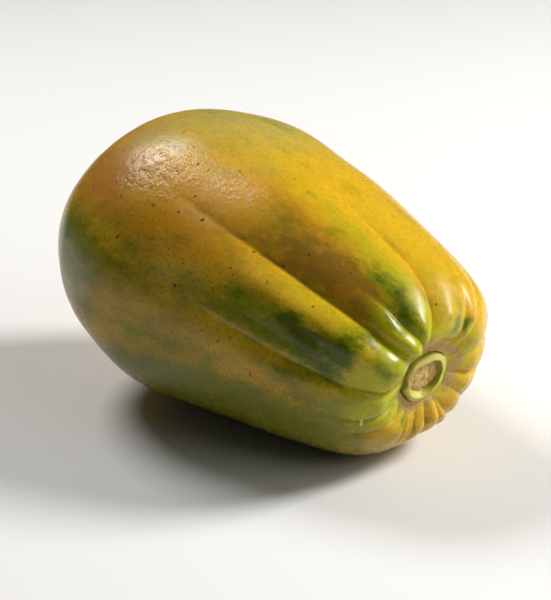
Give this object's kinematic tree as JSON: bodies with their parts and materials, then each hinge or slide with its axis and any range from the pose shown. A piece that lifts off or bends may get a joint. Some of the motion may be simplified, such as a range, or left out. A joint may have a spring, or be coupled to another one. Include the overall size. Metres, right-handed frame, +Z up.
{
  "type": "papaya",
  "caption": "Whole ripening papaya, pear-shaped, with a lobed stem end around a corky scar and stalk stub, lying on its side on a small flat spot.",
  "frame": {"origin": "centre of the bounding box in plan, on the surface the fruit lies on", "axes": "+X along the fruit toward the stem end, +Z up"},
  "size_m": [0.221, 0.1358, 0.1238],
  "materials": {
    "skin": "satin",
    "stalk": "matte"
  },
  "bodies": {
    "root": {"fruit": "skin", "stem_stub": "stalk"}
  },
  "joints": []
}
